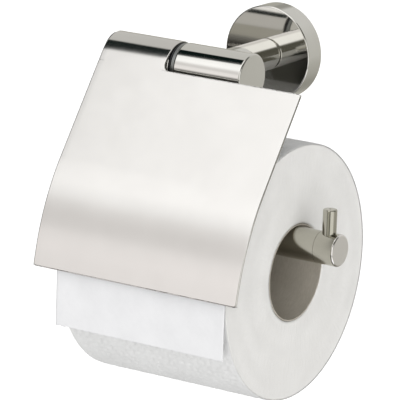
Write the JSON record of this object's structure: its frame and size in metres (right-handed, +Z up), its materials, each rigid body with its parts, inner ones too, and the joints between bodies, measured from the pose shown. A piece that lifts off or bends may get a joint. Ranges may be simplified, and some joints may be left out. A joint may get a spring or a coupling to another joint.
{
  "type": "toilet paper holder",
  "caption": "Wall-mounted toilet paper holder: a round rosette and arm carry a hinged metal cover flap over an open-ended spindle with a hanging paper roll.",
  "frame": {"origin": "centre of the wall plate's back face, on the wall and on the arm's axis", "axes": "+X to the right along the spindle towards its free end, -Y out from the wall, +Z up"},
  "size_m": [0.1374, 0.1334, 0.1805],
  "materials": {
    "polished_steel": "polished",
    "cover_sheet": "polished",
    "turned_steel": "satin",
    "plate_steel": "satin",
    "nylon": "matte",
    "tissue": "matte",
    "core_board": "matte"
  },
  "bodies": {
    "holder": {"wall_plate": "plate_steel", "rosette": "polished_steel", "rosette_grub_screw": "turned_steel", "arm_bolt": "turned_steel", "arm": "polished_steel", "top_tube": "polished_steel", "axle_plug": "turned_steel", "hinge_axle": "turned_steel", "hinge_washer_left": "nylon", "hinge_washer_right": "nylon", "support_leg": "polished_steel", "leg_screw_upper": "turned_steel", "leg_screw_lower": "turned_steel", "spindle_foot": "polished_steel", "spindle_tube": "polished_steel", "spindle_tip": "polished_steel", "stop_pin": "polished_steel", "loose_sheet": "tissue"},
    "cover": {"cover_flap": "cover_sheet", "hinge_bush_left": "nylon", "hinge_bush_right": "nylon"},
    "roll": {"paper_roll": "tissue", "roll_core": "core_board"}
  },
  "joints": [
    {"name": "cover_hinge", "type": "hinge", "parent": "holder", "child": "cover", "pos_m": [0, -0.0655, 0], "axis": [-1, 0, 0], "range_deg": [0, 130]},
    {"name": "roll_spin", "type": "hinge", "parent": "holder", "child": "roll", "pos_m": [0, -0.0655, -0.0923], "axis": [1, 0, 0], "continuous": true}
  ]
}
